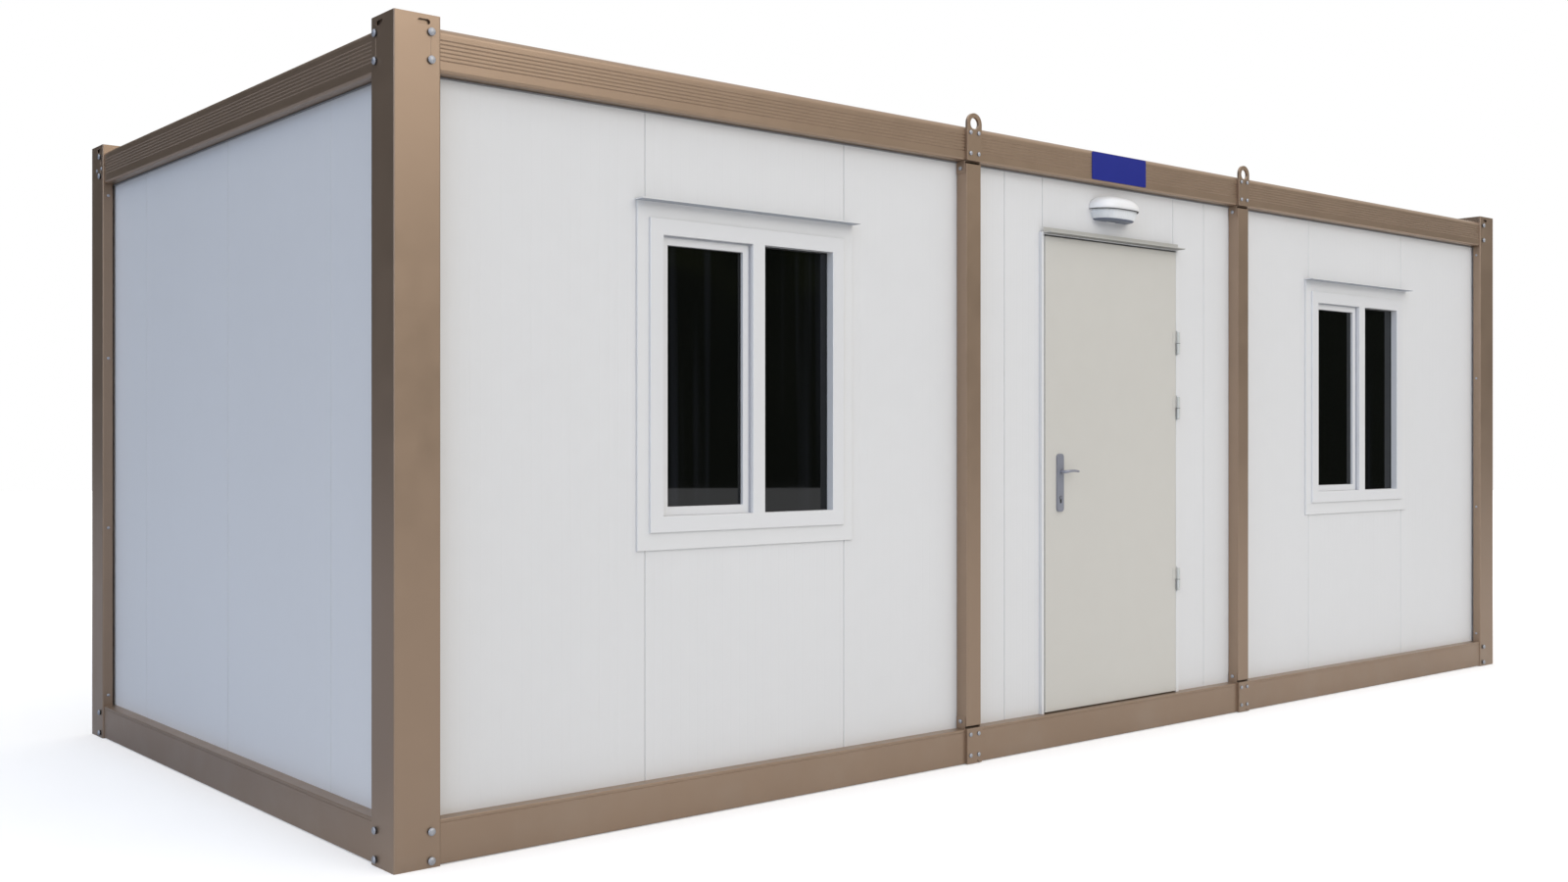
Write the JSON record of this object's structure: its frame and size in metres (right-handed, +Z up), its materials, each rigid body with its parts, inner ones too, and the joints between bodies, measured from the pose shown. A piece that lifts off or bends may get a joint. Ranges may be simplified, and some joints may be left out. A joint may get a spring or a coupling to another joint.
{
  "type": "portable site cabin",
  "caption": "Portable site cabin with a folded steel frame, sandwich-panel walls, an outward-opening door, sliding windows, lifting eyes and a ribbed sheet roof.",
  "frame": {"origin": "on the ground, under the middle of the corner posts' footprint", "axes": "+X along the long sides towards the door's hinges, +Y from the door side to the rear, +Z up"},
  "size_m": [7, 3.043, 2.6479],
  "materials": {
    "frame_paint": "satin",
    "panel_paint": "satin",
    "galvanised": "dull",
    "roof_metal": "satin",
    "deck_board": "matte",
    "ceiling_board": "matte",
    "window_plastic": "gloss",
    "window_glass": "gloss",
    "trim_paint": "satin",
    "door_paint": "satin",
    "hinge_metal": "satin",
    "handle_metal": "satin",
    "lamp_shell": "satin",
    "lamp_glass": "ribbed",
    "sign_paint": "gloss"
  },
  "bodies": {
    "cabin": {"corner_post_front_left": "frame_paint", "corner_post_front_right": "frame_paint", "corner_post_rear_left": "frame_paint", "corner_post_rear_right": "frame_paint", "base_rail_front": "frame_paint", "base_rail_rear": "frame_paint", "base_rail_left": "frame_paint", "base_rail_right": "frame_paint", "top_rail_front": "frame_paint", "top_rail_rear": "frame_paint", "top_rail_left": "frame_paint", "top_rail_right": "frame_paint", "mid_posts_front": "frame_paint", "mid_posts_rear": "frame_paint", "lifting_plates": "frame_paint", "base_plates": "frame_paint", "post_shoes": "frame_paint", "floor_joists": "galvanised", "floor_deck": "deck_board", "ceiling": "ceiling_board", "roof_purlins": "galvanised", "roof_sheet": "roof_metal", "front_wall_left_bay": "panel_paint", "front_wall_latch_side": "panel_paint", "front_wall_over_door": "panel_paint", "front_wall_hinge_side": "panel_paint", "front_wall_right_bay": "panel_paint", "left_wall": "panel_paint", "right_wall": "panel_paint", "rear_wall": "panel_paint", "window_frame_left": "window_plastic", "window_frame_right": "window_plastic", "window_sashes": "window_plastic", "window_panes": "window_glass", "window_trims": "trim_paint", "door_frame": "trim_paint", "door_drip_cap": "trim_paint", "hinge_pins": "hinge_metal", "lamp_housing": "lamp_shell", "lamp_diffuser": "lamp_glass", "sign_plate": "sign_paint"},
    "door": {"door_leaf": "door_paint", "hinge_knuckles": "hinge_metal", "handle_plates": "handle_metal"},
    "lever": {"lever_handle": "handle_metal"}
  },
  "joints": [
    {"name": "door_hinge", "type": "hinge", "parent": "cabin", "child": "door", "pos_m": [0.4665, -1.473, 1.17], "axis": [0, 0, 1], "range_deg": [0, 170]},
    {"name": "lever_turn", "type": "hinge", "parent": "door", "child": "lever", "pos_m": [-0.37, -1.44, 1.181], "axis": [0, 1, 0], "range_deg": [0, 40], "stiffness_Nm_per_rad": 0.8, "springref_deg": -17.19}
  ]
}
